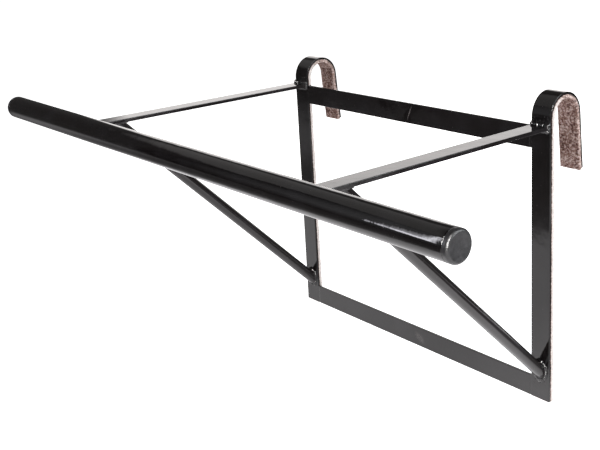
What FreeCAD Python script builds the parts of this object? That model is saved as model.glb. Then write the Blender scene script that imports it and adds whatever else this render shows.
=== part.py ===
import FreeCAD, Part
import math
import os

# A pull-up bar that hooks over a rung of a set of wall bars. A rectangular frame of flat steel hangs
# against the wall bars, and its two uprights run up past the top rail and bend back over the rung.
# Two flat arms carry the round bar out in front, and a round brace stays each arm from below. Every
# joint is welded. Felt lines the hooks and the back of the uprights.
#
# Millimetres. X runs along the bar, +Y points to the wall, +Z up. The origin is on the rung's centre
# line, midway between the hooks.

# ---- driving sizes ---------------------------------------------------------------------------------
FLAT_WIDTH = 35.0              # flat steel of the frame, across
FLAT_THICK = 4.0               # flat steel of the frame, through
EDGE_ROUND = 0.6               # rolled edges of all the flat steel
FRAME_WIDTH = 605.0            # outside of one upright to the outside of the other
CROWN_TO_BOTTOM = 452.0        # rung's centre line down to the frame's bottom edge
CROWN_TO_RAIL_TOP = 12.0       # rung's centre line down to the top rail's upper edge

RUNG_RADIUS = 26.0             # clear radius inside the felt at the crown of a hook
FELT_THICK = 6.0
FELT_LIP = 0.75                # the felt stands out this far past the sides of the flat steel
FELT_OVERHANG = 1.5            # the felt runs this far past the tip of the hook
HOOK_DROP = 88.0               # rung's centre line down to the tip of the hook
HOOK_FLARE = 5.0               # degrees that the hook's back leg leans away from the upright
LINING_GAP = 1.5               # between the hook's felt and the strip below it

BAR_RADIUS = 19.0
BAR_WALL = 2.0
BAR_LENGTH = 1070.0            # the tube alone, without its end caps
BAR_REACH = 450.0              # front face of the frame out to the bar's axis

ARM_THICK = 6.0
ARM_INSET = 2.5                # an arm is this much narrower than its upright on each side
ARM_ABOVE_RAIL = 2.0           # the arm's upper face above the top rail's upper edge

BRACE_RADIUS = 10.0
BRACE_WALL = 1.5
BRACE_FOOT_HEIGHT = 47.5       # frame's bottom edge up to the brace's axis on the upright
BRACE_SETBACK = 61.5           # bar's axis back to the brace's axis at the arm's underside

CAP_HEAD = 8.0                 # length of the end cap's head, outside the tube
CAP_RIM_ROUND = 2.5
CAP_DISH_INSET = 4.0           # rim of the head in to the edge of its shallow dish
CAP_DISH_DEPTH = 0.6
CAP_STEM_LENGTH = 22.0
CAP_STEM_WALL = 2.0
CAP_FIN_COUNT = 3
CAP_FIN_LENGTH = 1.6           # along the stem
CAP_FIN_HEIGHT = 1.4           # out from the stem
CAP_FIN_CLEARANCE = 0.05       # between a fin and the tube's bore

WELD_LEG = 5.0                 # leg of the fillet beads round the arms
BRACE_WELD_LEG = 4.0           # leg of the fillet beads above and below the braces
BRACE_WELD_MARGIN = 1.0        # a brace's bead stops this far inside the sides of the arm
WELD_TOE = 0.4                 # thickness left at the thin edge of a bead
SEAM_WIDTH = 3.0               # groove between a rail's end and the upright
SEAM_CROWN = 0.8               # a seam stands this far proud behind the frame

# ---- worked out from them --------------------------------------------------------------------------
HOOK_INNER = RUNG_RADIUS + FELT_THICK
HOOK_OUTER = HOOK_INNER + FLAT_THICK
FRONT_Y = -HOOK_OUTER                              # the frame's front face
BACK_Y = -HOOK_INNER                               # the frame's back face
BOTTOM_Z = -CROWN_TO_BOTTOM
RAIL_TOP_Z = -CROWN_TO_RAIL_TOP
HOOK_TIP_Z = -HOOK_DROP
FELT_TIP_Z = HOOK_TIP_Z - FELT_OVERHANG
FELT_WIDTH = FLAT_WIDTH + 2 * FELT_LIP
ARM_WIDTH = FLAT_WIDTH - 2 * ARM_INSET
MIDDLE_X = (FRAME_WIDTH - FLAT_WIDTH) / 2          # middle of an upright, its arm and its brace
RAIL_HALF = FRAME_WIDTH / 2 - FLAT_WIDTH           # inner side of an upright
ARM_TOP_Z = RAIL_TOP_Z + ARM_ABOVE_RAIL
ARM_UNDER_Z = ARM_TOP_Z - ARM_THICK
BAR_Y = FRONT_Y - BAR_REACH
BAR_Z = (ARM_TOP_Z + ARM_UNDER_Z) / 2
BAR_BACK_Y = BAR_Y + BAR_RADIUS
BORE_RADIUS = BAR_RADIUS - BAR_WALL
BRACE_FOOT_Z = BOTTOM_Z + BRACE_FOOT_HEIGHT
BRACE_HEAD_Y = BAR_Y + BRACE_SETBACK
SLOPE = math.atan2(ARM_UNDER_Z - BRACE_FOOT_Z, FRONT_Y - BRACE_HEAD_Y)

SIDES = (("left", -1), ("right", 1))
ALONG_BAR = FreeCAD.Vector(1, 0, 0)
FLARE = math.radians(HOOK_FLARE)
UP_BRACE = FreeCAD.Vector(0, -math.cos(SLOPE), math.sin(SLOPE))
DOWN_LEG = FreeCAD.Vector(0, math.sin(FLARE), -math.cos(FLARE))
IN_PLANE = 1e-6


# ---- shared shapes ---------------------------------------------------------------------------------
def box(x, y, z):
    """A box from its (low, high) pair along each axis."""
    return Part.makeBox(x[1] - x[0], y[1] - y[0], z[1] - z[0], FreeCAD.Vector(x[0], y[0], z[0]))


def about(middle, half):
    """The (low, high) pair that reaches half to each side of the middle."""
    return (middle - half, middle + half)


def rounded_flat(x, y, z, along):
    """A length of flat steel with rolled edges; along is the number of its long axis, 0, 1 or 2."""
    flat = box(x, y, z)
    length = (x, y, z)[along][1] - (x, y, z)[along][0]
    spans = ("XLength", "YLength", "ZLength")
    long_edges = [edge for edge in flat.Edges if abs(getattr(edge.BoundBox, spans[along]) - length) < IN_PLANE]
    return flat.makeFillet(EDGE_ROUND, long_edges)


def bar_cylinder(radius, x_low, x_high):
    """A cylinder on the bar's axis."""
    return Part.makeCylinder(radius, x_high - x_low, FreeCAD.Vector(x_low, BAR_Y, BAR_Z), ALONG_BAR)


def rectangle(x, z, y):
    """A closed upright rectangle at this y."""
    corners = [(x[0], z[0]), (x[1], z[0]), (x[1], z[1]), (x[0], z[1]), (x[0], z[0])]
    return Part.makePolygon([FreeCAD.Vector(cx, y, cz) for cx, cz in corners])


def arm_collar(middle_x, root_y, root_half, tip_y, tip_half):
    """A collar round an arm that narrows from its root to its tip; the halves are (across, high)."""
    root = rectangle(about(middle_x, root_half[0]), about(BAR_Z, root_half[1]), root_y)
    tip = rectangle(about(middle_x, tip_half[0]), about(BAR_Z, tip_half[1]), tip_y)
    return Part.makeLoft([root, tip], True, True)


def arm_blank(middle_x):
    """The arm's full flat from the frame to the bar's axis, before its end is coped."""
    return rounded_flat(about(middle_x, ARM_WIDTH / 2), (BAR_Y, FRONT_Y), (ARM_UNDER_Z, ARM_TOP_Z), 1)


# ---- hooks and felt --------------------------------------------------------------------------------
def on_circle(radius, degrees):
    """A point on a circle about the rung's centre line; 0 degrees faces the wall and 90 is up."""
    angle = math.radians(degrees)
    return FreeCAD.Vector(0, radius * math.cos(angle), radius * math.sin(angle))


def crown_arc(radius):
    """The arc over the rung, from the upright to where the back leg leaves it."""
    return Part.Arc(on_circle(radius, 180), on_circle(radius, 90), on_circle(radius, HOOK_FLARE)).toShape()


def bent_strip(outer, inner, foot_z, tip_z, width, middle_x):
    """A strip that runs up the frame's plane, over the rung and down the flared back leg."""
    leaves = on_circle(outer, HOOK_FLARE)
    outer_tip = leaves + DOWN_LEG * ((leaves.z - tip_z) / math.cos(FLARE))
    inner_tip = outer_tip - on_circle(outer - inner, HOOK_FLARE)
    outer_foot = FreeCAD.Vector(0, -outer, foot_z)
    inner_foot = FreeCAD.Vector(0, -inner, foot_z)
    outline = Part.Wire([
        Part.makeLine(outer_foot, on_circle(outer, 180)),
        crown_arc(outer),
        Part.makeLine(leaves, outer_tip),
        Part.makeLine(outer_tip, inner_tip),
        Part.makeLine(inner_tip, on_circle(inner, HOOK_FLARE)),
        crown_arc(inner),
        Part.makeLine(on_circle(inner, 180), inner_foot),
        Part.makeLine(inner_foot, outer_foot),
    ])
    strip = Part.Face(outline).extrude(FreeCAD.Vector(width, 0, 0))
    strip.translate(FreeCAD.Vector(middle_x - width / 2, 0, 0))
    return strip


def hook_upright(middle_x):
    """One length of flat steel: the frame's upright and, at its top, the hook."""
    strip = bent_strip(HOOK_OUTER, HOOK_INNER, BOTTOM_Z, HOOK_TIP_Z, FLAT_WIDTH, middle_x)
    side_edges = []
    for edge in strip.Edges:
        in_a_side = edge.BoundBox.XLength < IN_PLANE
        at_an_end = edge.Length < FLAT_THICK + IN_PLANE
        if in_a_side and not at_an_end:
            side_edges.append(edge)
    return strip.makeFillet(EDGE_ROUND, side_edges)


def hook_felt(middle_x):
    """The felt inside a hook, a little longer than the steel at the tip."""
    return bent_strip(HOOK_INNER, RUNG_RADIUS, FELT_TIP_Z, FELT_TIP_Z, FELT_WIDTH, middle_x)


def back_felt(middle_x):
    """The felt strip on the back of an upright, from below the hook's felt to the bottom edge."""
    top_z = FELT_TIP_Z - LINING_GAP
    return box(about(middle_x, FELT_WIDTH / 2), (BACK_Y, -RUNG_RADIUS), (BOTTOM_Z, top_z))


# ---- frame -----------------------------------------------------------------------------------------
def rail(top_z):
    """A flat rail between the uprights, short of each by the width of its weld seam."""
    half = RAIL_HALF - SEAM_WIDTH
    return rounded_flat((-half, half), (FRONT_Y, BACK_Y), (top_z - FLAT_WIDTH, top_z), 0)


def rail_seam(side, top_z, neighbours):
    """The weld that fills the groove between a rail's end and an upright, ground flush in front."""
    x = sorted((side * (RAIL_HALF - SEAM_WIDTH), side * (RAIL_HALF + EDGE_ROUND)))
    z = (top_z - FLAT_WIDTH + EDGE_ROUND, top_z - EDGE_ROUND)
    fill = box(x, (FRONT_Y, BACK_Y), z)
    proud_x = sorted((side * (RAIL_HALF - SEAM_WIDTH), side * (RAIL_HALF - FELT_LIP)))
    proud = box(proud_x, (BACK_Y, BACK_Y + SEAM_CROWN), z)
    return fill.fuse(proud).cut(neighbours).removeSplitter()


# ---- bar, end caps, arms ---------------------------------------------------------------------------
def pull_up_tube():
    """The round tube that is gripped."""
    half = BAR_LENGTH / 2
    return bar_cylinder(BAR_RADIUS, -half, half).cut(bar_cylinder(BORE_RADIUS, -half, half))


def end_cap(side):
    """A plug with a rounded, slightly dished head and ribs that grip the tube's bore."""
    length = CAP_HEAD + CAP_STEM_LENGTH
    stem_radius = BORE_RADIUS - CAP_FIN_CLEARANCE - CAP_FIN_HEIGHT
    head = Part.makeCylinder(BAR_RADIUS, CAP_HEAD, FreeCAD.Vector(0, 0, 0), ALONG_BAR)
    rim = [edge for edge in head.Edges if abs(edge.BoundBox.XMin - CAP_HEAD) < IN_PLANE]
    head = head.makeFillet(CAP_RIM_ROUND, rim)
    dish_radius = BAR_RADIUS - CAP_DISH_INSET
    ball_radius = (dish_radius ** 2 + CAP_DISH_DEPTH ** 2) / (2 * CAP_DISH_DEPTH)
    ball = Part.makeSphere(ball_radius, FreeCAD.Vector(CAP_HEAD - CAP_DISH_DEPTH + ball_radius, 0, 0))
    stem_start = FreeCAD.Vector(-CAP_STEM_LENGTH, 0, 0)
    stem = Part.makeCylinder(stem_radius, length - CAP_HEAD, stem_start, ALONG_BAR)
    pitch = CAP_STEM_LENGTH / (CAP_FIN_COUNT + 1)
    fins = []
    for index in range(CAP_FIN_COUNT):
        fin_start = FreeCAD.Vector(-(index + 1) * pitch - CAP_FIN_LENGTH / 2, 0, 0)
        fins.append(Part.makeCylinder(stem_radius + CAP_FIN_HEIGHT, CAP_FIN_LENGTH, fin_start, ALONG_BAR))
    hollow = Part.makeCylinder(stem_radius - CAP_STEM_WALL, CAP_STEM_LENGTH, stem_start, ALONG_BAR)
    cap = head.cut(ball).fuse([stem, *fins]).cut(hollow).removeSplitter()
    if side < 0:
        cap = cap.mirror(FreeCAD.Vector(0, 0, 0), ALONG_BAR)
    cap.translate(FreeCAD.Vector(side * BAR_LENGTH / 2, BAR_Y, BAR_Z))
    return cap


def arm(middle_x):
    """A flat arm, its front end coped to the bar."""
    x = about(middle_x, ARM_WIDTH)
    return arm_blank(middle_x).cut(bar_cylinder(BAR_RADIUS, *x))


def arm_frame_weld(middle_x):
    """The fillet bead all round an arm where it meets its upright."""
    half_high = ARM_THICK / 2
    root = (FLAT_WIDTH / 2 - EDGE_ROUND, half_high + WELD_LEG)
    tip = (ARM_WIDTH / 2 + WELD_TOE, half_high + WELD_TOE)
    collar = arm_collar(middle_x, FRONT_Y, root, FRONT_Y - WELD_LEG, tip)
    return collar.cut(arm_blank(middle_x))


def arm_bar_weld(middle_x):
    """The fillet bead all round an arm where it meets the bar."""
    half_high = ARM_THICK / 2
    root = (ARM_WIDTH / 2 + WELD_LEG, half_high + WELD_LEG)
    tip = (ARM_WIDTH / 2 + WELD_TOE, half_high + WELD_TOE)
    root_y = BAR_Y + math.sqrt(BORE_RADIUS ** 2 - root[1] ** 2)
    collar = arm_collar(middle_x, root_y, root, BAR_BACK_Y + WELD_LEG, tip)
    x = about(middle_x, 2 * ARM_WIDTH)
    return collar.cut(bar_cylinder(BAR_RADIUS, *x)).cut(arm_blank(middle_x))


# ---- braces ----------------------------------------------------------------------------------------
def brace_cylinder(radius, middle_x):
    """A cylinder on a brace's axis that runs well past both of its ends."""
    foot = FreeCAD.Vector(middle_x, FRONT_Y, BRACE_FOOT_Z)
    head = FreeCAD.Vector(middle_x, BRACE_HEAD_Y, ARM_UNDER_Z)
    past = UP_BRACE * (4 * BRACE_RADIUS)
    start = foot - past
    return Part.makeCylinder(radius, (head + past - start).Length, start, UP_BRACE)


def brace(middle_x):
    """A round tube, mitred to the upright at its foot and to the arm's underside at its head."""
    tube = brace_cylinder(BRACE_RADIUS, middle_x).cut(brace_cylinder(BRACE_RADIUS - BRACE_WALL, middle_x))
    between = box(about(middle_x, 2 * BRACE_RADIUS), (BAR_Y, FRONT_Y), (BOTTOM_Z, ARM_UNDER_Z))
    return tube.common(between)


def oblique_bead(middle_x, middle, root_long, middle_far, far_long):
    """A bead from an ellipse on a flat face to a smaller one standing off it, the brace left out.

    The root ellipse is nearly as wide as the arm. The long half axes are vectors in the face."""
    across_root = FreeCAD.Vector(ARM_WIDTH / 2 - BRACE_WELD_MARGIN, 0, 0)
    across_far = FreeCAD.Vector(BRACE_RADIUS + WELD_TOE, 0, 0)
    root = Part.Ellipse(middle + root_long, middle + across_root, middle).toShape()
    far = Part.Ellipse(middle_far + far_long, middle_far + across_far, middle_far).toShape()
    bead = Part.makeLoft([Part.Wire(root), Part.Wire(far)], True, True)
    return bead.cut(brace_cylinder(BRACE_RADIUS, middle_x))


def brace_foot_weld(middle_x):
    """The bead round a brace's foot, on the front face of the upright."""
    foot = FreeCAD.Vector(middle_x, FRONT_Y, BRACE_FOOT_Z)
    stretch = FreeCAD.Vector(0, 0, 1 / math.cos(SLOPE))
    off = UP_BRACE * (BRACE_WELD_LEG / math.cos(SLOPE))
    root_long = stretch * (BRACE_RADIUS + BRACE_WELD_LEG)
    far_long = stretch * (BRACE_RADIUS + WELD_TOE)
    return oblique_bead(middle_x, foot, root_long, foot + off, far_long)


def brace_head_weld(middle_x):
    """The bead round a brace's head, on the underside of the arm."""
    head = FreeCAD.Vector(middle_x, BRACE_HEAD_Y, ARM_UNDER_Z)
    stretch = FreeCAD.Vector(0, 1 / math.sin(SLOPE), 0)
    off = UP_BRACE * (-BRACE_WELD_LEG / math.sin(SLOPE))
    root_long = stretch * (BRACE_RADIUS + BRACE_WELD_LEG)
    far_long = stretch * (BRACE_RADIUS + WELD_TOE)
    return oblique_bead(middle_x, head, root_long, head + off, far_long)


# ---- build -----------------------------------------------------------------------------------------
def build():
    """Every piece by its name."""
    rails = {"top_rail": RAIL_TOP_Z, "bottom_rail": BOTTOM_Z + FLAT_WIDTH}
    pieces = {name: rail(top_z) for name, top_z in rails.items()}
    pieces["pull_up_bar"] = pull_up_tube()
    for word, side in SIDES:
        x = side * MIDDLE_X
        upright = hook_upright(x)
        pieces["hook_upright_" + word] = upright
        pieces["hook_felt_" + word] = hook_felt(x)
        pieces["back_felt_" + word] = back_felt(x)
        pieces["arm_" + word] = arm(x)
        pieces["brace_" + word] = brace(x)
        pieces["end_cap_" + word] = end_cap(side)
        pieces["arm_frame_weld_" + word] = arm_frame_weld(x)
        pieces["arm_bar_weld_" + word] = arm_bar_weld(x)
        pieces["brace_foot_weld_" + word] = brace_foot_weld(x)
        pieces["brace_head_weld_" + word] = brace_head_weld(x)
        for name, top_z in rails.items():
            pieces[name + "_weld_" + word] = rail_seam(side, top_z, upright.fuse(pieces[name]))
    return pieces


os.makedirs("parts", exist_ok=True)
for name, shape in build().items():
    shape.exportStep("parts/" + name + ".step")
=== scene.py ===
import math
import random

import bmesh
import bpy
from bpy.props import FloatProperty, FloatVectorProperty, IntProperty, PointerProperty
from mathutils import Matrix, Vector, noise


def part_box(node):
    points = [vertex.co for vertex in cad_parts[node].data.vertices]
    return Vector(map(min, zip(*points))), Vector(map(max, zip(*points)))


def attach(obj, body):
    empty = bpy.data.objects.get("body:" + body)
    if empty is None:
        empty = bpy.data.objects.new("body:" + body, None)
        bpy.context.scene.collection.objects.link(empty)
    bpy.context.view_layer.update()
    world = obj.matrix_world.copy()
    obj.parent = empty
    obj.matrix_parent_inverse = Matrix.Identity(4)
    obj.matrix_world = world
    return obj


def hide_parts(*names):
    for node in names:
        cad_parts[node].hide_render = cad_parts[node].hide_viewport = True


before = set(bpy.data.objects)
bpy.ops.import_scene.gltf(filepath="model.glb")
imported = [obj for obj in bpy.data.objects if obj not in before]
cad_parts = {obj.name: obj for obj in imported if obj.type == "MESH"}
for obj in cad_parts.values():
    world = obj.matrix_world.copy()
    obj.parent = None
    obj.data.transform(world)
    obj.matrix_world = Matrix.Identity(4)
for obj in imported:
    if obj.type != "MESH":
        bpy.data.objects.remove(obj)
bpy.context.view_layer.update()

bl_info = {
    "name": "Hook-on pull-up bar",
    "version": (1, 0, 0),
    "blender": (4, 5, 0),
    "location": "3D View > Sidebar > Pull-up bar",
    "description": "Finishes a welded pull-up bar: gloss paint, weld beads, felt linings and end caps",
    "category": "Object",
}

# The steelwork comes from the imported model. This script paints it, lays the weld beads, cuts the felt,
# moulds the end caps and sets up the studio. Metres, in the model's own frame: X along the bar, +Y to
# the wall, +Z up, the origin on the rung's centre line midway between the hooks.

MM = 0.001
SIDES = (("left", -1), ("right", 1))
BODY = "root"


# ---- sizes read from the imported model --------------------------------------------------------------
def low(node):
    """The lowest corner of a node's box."""
    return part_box(node)[0]


def high(node):
    """The highest corner of a node's box."""
    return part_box(node)[1]


BAR_RADIUS = (high("pull_up_bar").z - low("pull_up_bar").z) / 2
BAR_HALF = high("pull_up_bar").x
BAR_Y = (high("pull_up_bar").y + low("pull_up_bar").y) / 2
BAR_Z = (high("pull_up_bar").z + low("pull_up_bar").z) / 2
FRONT_Y = low("top_rail").y
BACK_Y = high("top_rail").y
BOTTOM_Z = low("bottom_rail").z
FLAT_WIDTH = high("top_rail").z - low("top_rail").z
MIDDLE_X = (high("arm_right").x + low("arm_right").x) / 2
ARM_HALF_WIDE = (high("arm_right").x - low("arm_right").x) / 2
ARM_HALF_HIGH = (high("arm_right").z - low("arm_right").z) / 2
UPRIGHT_HALF = (high("hook_upright_right").x - low("hook_upright_right").x) / 2
HOOK_INNER = -BACK_Y
RUNG_RADIUS = -high("back_felt_right").y
FELT_HALF = (high("hook_felt_right").x - low("hook_felt_right").x) / 2
FELT_TIP_Z = low("hook_felt_right").z
BACK_FELT_TOP_Z = high("back_felt_right").z
CAP_END = high("end_cap_right").x
BRACE_RADIUS = (high("brace_right").x - low("brace_right").x) / 2

TUBE_WALL = 2.0 * MM
HOOK_FLARE = math.radians(5.0)      # lean of the hooks' free legs
ARM_CORNER = 0.7 * MM
BEAD_SINK = 0.35 * MM               # depth of a bead's root in the steel
BEAD_BULGE = 0.24                   # rise of a bead's face, as a share of its leg
STATIONS_PER_RIPPLE = 7
GRIND_BACK = 0.6 * MM               # how far the rail seams are ground back at their ends


# ---- settings --------------------------------------------------------------------------------------
def a_colour(name, description, red, green, blue):
    """A colour for the user to change."""
    return FloatVectorProperty(name=name, description=description, subtype="COLOR", size=4, min=0.0, max=1.0,
                               default=(red, green, blue, 1.0))


def a_length(name, description, default):
    """A length for the user to change."""
    return FloatProperty(name=name, description=description, subtype="DISTANCE", unit="LENGTH", precision=6,
                         default=default)


def a_share(name, description, default):
    """A share from 0 to 1 for the user to change."""
    return FloatProperty(name=name, description=description, subtype="FACTOR", min=0.0, max=1.0,
                         default=default)


def a_brightness(name, description, default):
    """A lamp's brightness for the user to change."""
    return FloatProperty(name=name, description=description, min=0.0, default=default)


def an_angle(name, description, degrees):
    """An angle for the user to change."""
    return FloatProperty(name=name, description=description, subtype="ANGLE", unit="ROTATION",
                         default=math.radians(degrees))


def a_place(name, description, place):
    """A place in the room for the user to change."""
    return FloatVectorProperty(name=name, description=description, subtype="TRANSLATION", unit="LENGTH",
                               default=place)


class PaintSettings(bpy.types.PropertyGroup):
    """The gloss paint on the steel"""
    colour: a_colour("Paint", "Colour of the gloss paint", 0.0100, 0.0082, 0.0082)
    bloom: a_colour("Bloom", "Colour of the paint where it is slightly hazed", 0.0160, 0.0142, 0.0150)
    worn: a_colour("Worn edge", "Colour that shows where an edge is rubbed", 0.12, 0.105, 0.10)
    rubbed: a_colour("Rub mark", "Colour of a rubbed or scratched patch", 0.24, 0.215, 0.21)
    roughness: a_share("Roughness", "Roughness of clean paint", 0.02)
    haze: a_share("Haze", "Roughness of handled or dusty paint", 0.075)
    peel_size: a_length("Orange peel size", "Distance from one ripple of the paint to the next", 2.6 * MM)
    peel_depth: a_length("Orange peel depth", "Height of the ripples in the paint", 0.030 * MM)


class WeldSettings(bpy.types.PropertyGroup):
    """The weld beads"""
    leg: a_length("Leg", "Leg of the fillet beads round the arms", 6.2 * MM)
    brace_leg: a_length("Brace leg", "Leg of the fillet beads round the braces", 4.4 * MM)
    pitch: a_length("Ripple pitch", "Distance from one ripple of a bead to the next", 3.2 * MM)
    ripple: a_length("Ripple height", "Height of a bead's ripples", 1.0 * MM)
    spatter: IntProperty(
        name="Spatter", description="Droplets of spatter beside each bead", min=0, max=80, default=26)


class FeltSettings(bpy.types.PropertyGroup):
    """The felt that lines the hooks and backs the uprights"""
    dark: a_colour("Dark fibres", "Colour of the felt's dark fibres", 0.085, 0.042, 0.036)
    middle: a_colour("Main fibres", "Main colour of the felt", 0.30, 0.185, 0.155)
    pale: a_colour("Pale fibres", "Colour of the felt's pale fibres", 0.66, 0.53, 0.49)
    # the cut sides' colour is a painted highlight: the felt's sides and loose fibres are made pale as if lit
    cut: a_colour("Cut sides", "Colour of the bleached fibres along the cut sides", 0.80, 0.75, 0.72)
    grey: a_colour("Grey fibres", "Colour of the few grey fibres", 0.17, 0.17, 0.19)
    rust: a_colour("Rust fibres", "Colour of the few rust-brown fibres", 0.30, 0.13, 0.075)
    lump: a_length("Lumps", "How far the felt's surface rises and falls", 0.35 * MM)
    fibres: IntProperty(
        name="Fibres", description="Loose fibres on each strip of felt", min=0, max=20000, default=5200)
    fibre_length: a_length("Fibre length", "Length of a loose fibre", 3.2 * MM)


class CapSettings(bpy.types.PropertyGroup):
    """The plastic end caps"""
    colour: a_colour("Plastic", "Colour of the end caps", 0.014, 0.0138, 0.0150)
    scuffed: a_colour("Scuffed plastic", "Colour of the plastic where it is scuffed", 0.046, 0.043, 0.047)
    roughness: a_share("Roughness", "Roughness of the moulded plastic", 0.36)
    groove: a_length("Groove", "Radius of the tube's rounded end, beside the cap", 1.0 * MM)
    rim_round: a_length("Rim", "Radius of the cap's outer rim", 4.0 * MM)
    dish: a_length("Dish", "Depth of the dish in the cap's face", 1.1 * MM)


class StudioSettings(bpy.types.PropertyGroup):
    """The camera and the lights"""
    camera_place: a_place("Camera", "Where the camera stands", (1.1572, -1.1392, 0.3167))
    azimuth: an_angle("Azimuth", "Direction the camera looks, from +Y towards -X", 49.643)
    elevation: an_angle("Elevation", "How far down the camera looks", 13.789)
    roll: an_angle("Roll", "Turn of the camera about its own axis", -2.555)
    lens: FloatProperty(name="Lens", description="Focal length in millimetres", unit="CAMERA", default=58.03)
    shift_x: FloatProperty(name="Shift across", description="Sideways shift of the lens", default=-0.0885)
    shift_y: FloatProperty(name="Shift up", description="Upward shift of the lens", default=-0.1394)
    floor_light: a_brightness("Paper", "Brightness of the white paper under the bar", 1.36)
    wall_light: a_brightness("Backdrop", "Brightness of the paper where it rises behind the bar", 1.8)
    glow_light: a_brightness("Glow", "Brightness of the glow over the backdrop", 0.8)
    side_light: a_brightness("Side card", "Brightness of the card to the right of the bar", 9.0)
    box_place: a_place("Softbox place", "The middle of the softbox", (-0.385, -1.63, 0.56))
    box_light: a_brightness("Softbox", "Brightness of the softbox", 17.0)
    halo_light: a_brightness("Softbox surround", "Brightness of the cloth round the softbox", 0.42)
    kicker_light: a_brightness("Kicker", "Brightness of the thin lamp behind the camera", 190.0)
    ceiling_light: a_brightness("Ceiling", "Brightness of the ceiling to the left of the bar", 0.42)
    room_light: a_brightness("Room", "Brightness of the room round the paper", 0.07)


# ---- node trees ------------------------------------------------------------------------------------
class Nodes:
    """A material's or world's node tree, with short ways to add and join nodes."""

    def __init__(self, owner):
        owner.use_nodes = True
        self.tree = owner.node_tree
        self.tree.nodes.clear()

    def add(self, kind, links=None, **settings):
        """Adds a node; settings are its own properties, and links its inputs by name or number."""
        node = self.tree.nodes.new("ShaderNode" + kind)
        for name, value in settings.items():
            setattr(node, name, value)
        for name, value in (links or {}).items():
            if isinstance(value, bpy.types.NodeSocket):
                self.tree.links.new(value, node.inputs[name])
            else:
                node.inputs[name].default_value = value
        return node

    def place(self, stretch=(1, 1, 1), turn=(0, 0, 0)):
        """Coordinates in metres on the object, stretched and turned."""
        at = self.add("TexCoord").outputs["Object"]
        return self.add("Mapping", {"Vector": at, "Rotation": turn, "Scale": stretch}).outputs["Vector"]

    def noise(self, size, detail=3.0, at=None, rough=0.5):
        """Noise whose features are about this size across."""
        links = {"Vector": at or self.place(), "Scale": 1 / size, "Detail": detail, "Roughness": rough}
        return self.add("TexNoise", links).outputs["Fac"]

    def cells(self, size):
        """Distance from the middle of the nearest cell, the cells being about this size across."""
        return self.add("TexVoronoi", {"Vector": self.place(), "Scale": 1 / size}).outputs["Distance"]

    def ramp(self, value, low_end, high_end, to_low=0.0, to_high=1.0):
        """Value from low_end to high_end becomes to_low to to_high, held at both ends."""
        links = {"Value": value, "From Min": low_end, "From Max": high_end,
                 "To Min": to_low, "To Max": to_high}
        return self.add("MapRange", links, interpolation_type="SMOOTHSTEP").outputs["Result"]

    def sum(self, a, b):
        """One value plus another."""
        return self.add("Math", {0: a, 1: b}, operation="ADD").outputs[0]

    def times(self, a, b):
        """One value times another."""
        return self.add("Math", {0: a, 1: b}, operation="MULTIPLY").outputs[0]

    def blend(self, share, a, b):
        """Colour a where share is 0, and b where it is 1."""
        mix = self.add("Mix", data_type="RGBA")
        for name, value in ((0, share), (6, a), (7, b)):
            if isinstance(value, bpy.types.NodeSocket):
                self.tree.links.new(value, mix.inputs[name])
            else:
                mix.inputs[name].default_value = value
        return mix.outputs[2]

    def bump(self, height, depth, under=None):
        """A relief this deep, laid over the relief under it."""
        links = {"Height": height, "Distance": depth, "Strength": 1.0}
        if under:
            links["Normal"] = under
        return self.add("Bump", links).outputs["Normal"]

    def edge_wear(self, radius):
        """Near 1 on a convex edge and 0 on the open faces."""
        rounded = self.add("Bevel", {"Radius": radius}, samples=6).outputs["Normal"]
        true = self.add("NewGeometry").outputs["Normal"]
        along = self.add("VectorMath", {0: rounded, 1: true}, operation="DOT_PRODUCT").outputs["Value"]
        return self.ramp(along, 0.985, 0.86)

    def mark(self, centre, turn, half):
        """1 in the middle of a small patch and 0 outside it."""
        at = self.add("TexCoord").outputs["Object"]
        moved = self.add("VectorMath", {0: at, 1: centre}, operation="SUBTRACT").outputs["Vector"]
        size = tuple(1 / h for h in half)
        turned_at = self.add("VectorRotate", {"Vector": moved, "Angle": turn}, rotation_type="Y_AXIS")
        scaled = self.add("VectorMath", {0: turned_at.outputs["Vector"], 1: size}, operation="MULTIPLY")
        reach = self.add("VectorMath", {0: scaled.outputs["Vector"]}, operation="LENGTH").outputs["Value"]
        return self.ramp(reach, 1.0, 0.35)

    def surface(self, **inputs):
        """The finish. Inputs are the shader's own, with underscores for spaces."""
        links = {name.replace("_", " "): value for name, value in inputs.items()}
        shader = self.add("BsdfPrincipled", links)
        self.tree.links.new(shader.outputs[0], self.add("OutputMaterial").inputs["Surface"])


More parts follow.
